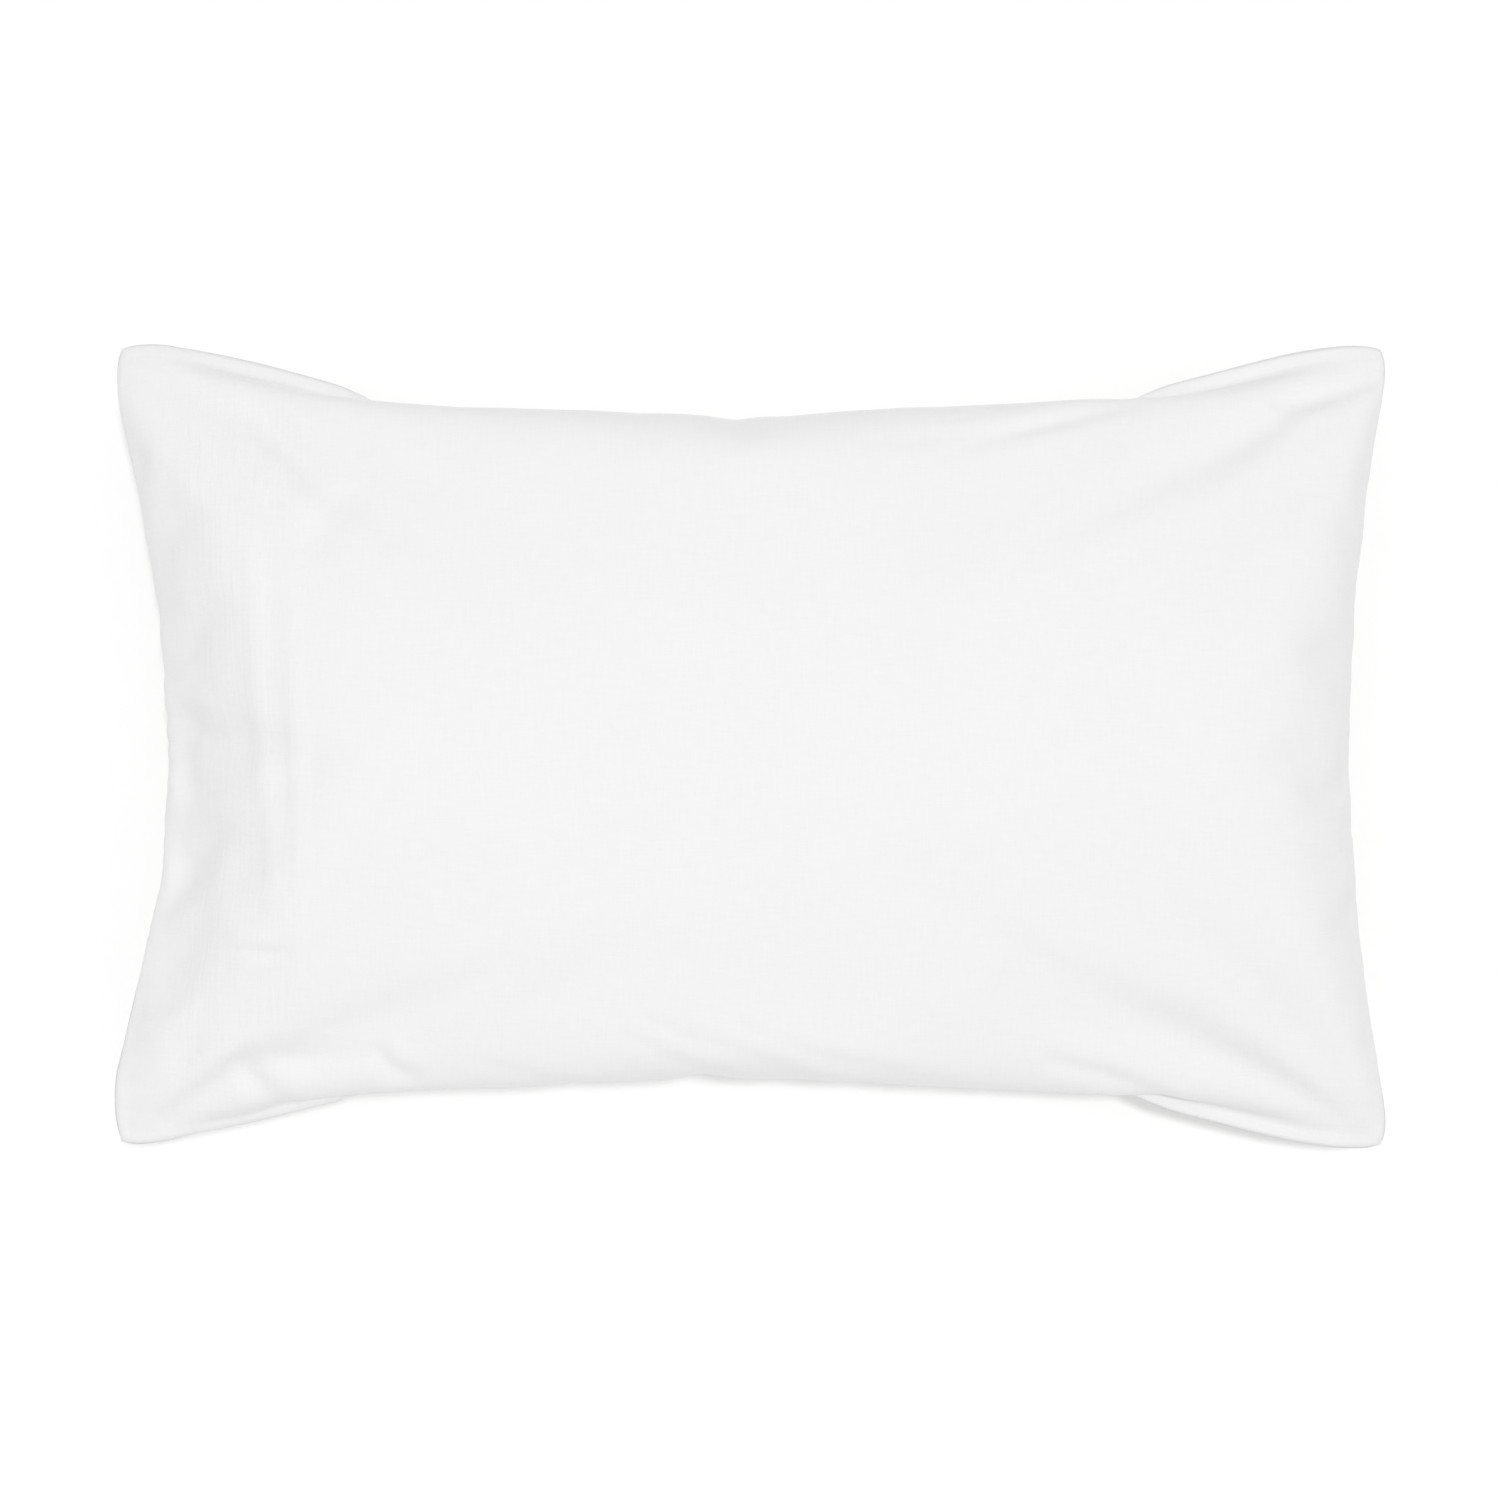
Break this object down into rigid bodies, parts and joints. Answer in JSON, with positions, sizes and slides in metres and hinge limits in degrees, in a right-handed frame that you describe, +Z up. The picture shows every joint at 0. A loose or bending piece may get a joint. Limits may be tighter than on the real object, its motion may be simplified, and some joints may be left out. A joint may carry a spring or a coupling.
{
  "type": "bed pillow",
  "caption": "Stuffed rectangular bed pillow in a closed white case with drawn-in edges and a concealed zip along one short end",
  "frame": {"origin": "centre of the overall box in plan, on the surface that the pillow lies on", "axes": "+Z up through the pillow's thickness, +X along its length away from the zipped end, +Y across its width"},
  "size_m": [0.7405, 0.4714, 0.18],
  "materials": {
    "case_cotton": "smooth white cotton percale, fine plain weave",
    "case_cotton_back": "white cotton percale, a shade warmer than the front",
    "ticking_cotton": "close white cotton ticking in a herringbone twill",
    "piping_cotton": "white cotton piping over a cord",
    "polyester_fill": "lofty white hollow-fibre polyester",
    "sewing_thread": "white spun polyester thread",
    "zip_tape": "white woven polyester tape",
    "zip_coil": "white nylon coil",
    "zip_metal": "white enamelled zinc",
    "label_satin": "blank white satin ribbon"
  },
  "bodies": {
    "root": {"case_front_panel": "case_cotton", "case_back_panel": "case_cotton_back", "case_side_seams": "case_cotton_back", "case_overlock_thread": "sewing_thread", "case_zip_hem_front": "case_cotton", "case_zip_hem_back": "case_cotton_back", "zip_tape_front": "zip_tape", "zip_tape_back": "zip_tape", "zip_coil_front": "zip_coil", "zip_coil_back": "zip_coil", "zip_top_stops": "zip_metal", "zip_bottom_stop": "zip_metal", "zip_stitching_front": "sewing_thread", "zip_stitching_back": "sewing_thread", "case_care_label": "label_satin", "insert_ticking_top": "ticking_cotton", "insert_ticking_bottom": "ticking_cotton", "insert_piping": "piping_cotton", "insert_fibre_label": "label_satin", "fill_batting_top": "polyester_fill", "fill_batting_bottom": "polyester_fill", "fill_core": "polyester_fill"},
    "slider": {"zip_slider": "zip_metal"},
    "pull": {"zip_pull_tab": "zip_metal"}
  },
  "joints": [
    {"name": "zip_travel", "type": "hinge", "parent": "root", "child": "slider", "pos_m": [-1.05611, 0, 0], "axis": [0, 0, 1], "range_deg": [0, 26.71]},
    {"name": "pull_swing", "type": "hinge", "parent": "slider", "child": "pull", "pos_m": [-0.34234, -0.16946, 0.0788], "axis": [0.973, -0.231, 0], "range_deg": [-85, 85]}
  ]
}
